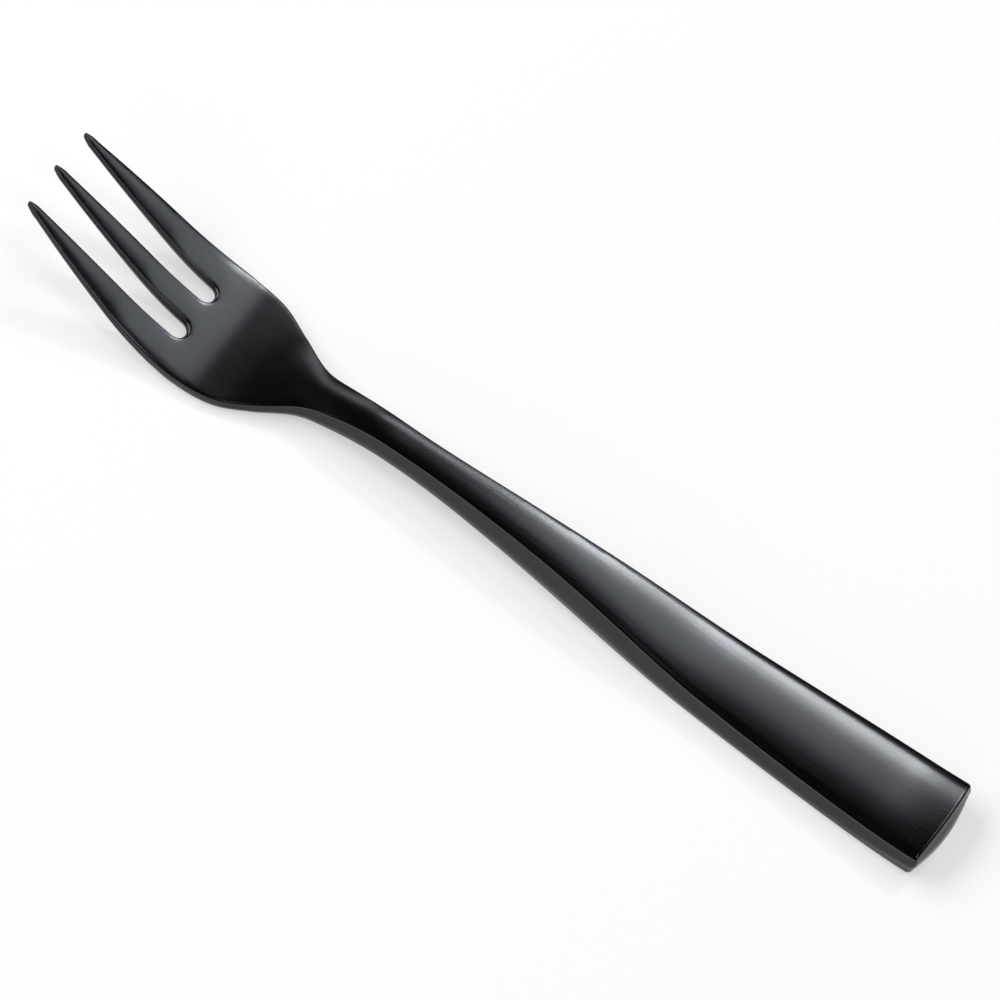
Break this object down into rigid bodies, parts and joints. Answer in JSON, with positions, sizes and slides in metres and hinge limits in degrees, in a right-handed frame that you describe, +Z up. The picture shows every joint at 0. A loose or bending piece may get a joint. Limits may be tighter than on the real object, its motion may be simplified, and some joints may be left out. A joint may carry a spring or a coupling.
{
  "type": "oyster fork",
  "caption": "Slim forged oyster fork in satin black steel: crowned handle widening to a gently curved butt, narrow arched neck, flared head and slender upturned tines.",
  "frame": {"origin": "on the table under the middle of the fork's bounding box, the fork lying face up", "axes": "+X along the fork from the tips to the butt of the handle, +Y to the right of a user who holds it tips away, +Z up from the table"},
  "size_m": [0.15, 0.0218, 0.0116],
  "materials": {
    "satin_black_steel": "stainless steel with a satin black coating, finely brushed along its length"
  },
  "bodies": {
    "root": {"handle": "satin_black_steel", "neck": "satin_black_steel", "head": "satin_black_steel", "tine_left": "satin_black_steel", "tine_middle": "satin_black_steel", "tine_right": "satin_black_steel"}
  },
  "joints": []
}
